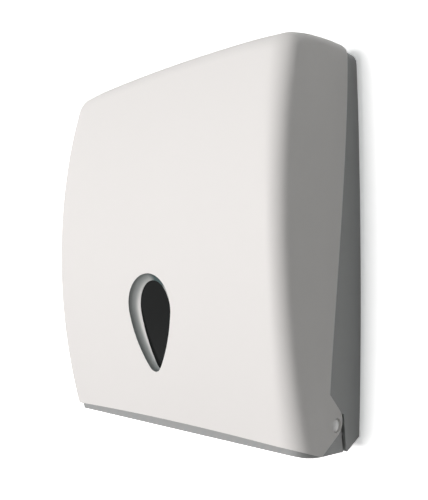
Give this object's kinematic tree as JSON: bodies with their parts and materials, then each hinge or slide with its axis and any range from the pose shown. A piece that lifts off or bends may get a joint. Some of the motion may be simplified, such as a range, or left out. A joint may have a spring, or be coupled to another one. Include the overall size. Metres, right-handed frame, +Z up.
{
  "type": "paper towel dispenser",
  "caption": "Wall-mounted dispenser for folded paper towels: bowed white cover with a drop-shaped smoked window, hinged at the foot on a grey housing with a towel slot below.",
  "frame": {"origin": "middle of the four wall-screw holes, on the wall plane", "axes": "+X to the viewer's right, +Y into the wall, +Z up; the front faces -Y"},
  "size_m": [0.285, 0.105, 0.3234],
  "materials": {
    "cover_white": "satin moulded ABS, warm white",
    "housing_grey": "finely textured moulded ABS, mid grey",
    "pin_white": "smooth moulded acetal",
    "smoked_lens": "glossy smoked clear plastic",
    "lock_metal": "satin nickel plate on die-cast zinc",
    "zinc_steel": "zinc-plated steel",
    "wafer_brass": "stamped brass",
    "buffer_rubber": "matt black rubber"
  },
  "bodies": {
    "base": {"back_housing": "housing_grey", "bottom_tray": "housing_grey", "tray_screws": "zinc_steel", "hinge_pin_left": "pin_white", "hinge_pin_right": "pin_white", "cover_buffers": "buffer_rubber"},
    "cover": {"front_cover": "cover_white", "window_lens": "smoked_lens", "lens_push_nuts": "zinc_steel", "lock_barrel": "lock_metal", "lock_nut": "zinc_steel"},
    "lock_core": {"lock_plug": "lock_metal", "lock_wafers": "wafer_brass", "lock_cam": "zinc_steel", "cam_washer": "zinc_steel", "cam_screw": "zinc_steel"}
  },
  "joints": [
    {"name": "cover_hinge", "type": "hinge", "parent": "base", "child": "cover", "pos_m": [0, -0.034, -0.1482], "axis": [1, 0, 0], "range_deg": [0, 90]},
    {"name": "lock_turn", "type": "hinge", "parent": "cover", "child": "lock_core", "pos_m": [0, -0.04724, 0.12429], "axis": [0, 0.1288, -0.9917], "range_deg": [0, 90]}
  ]
}
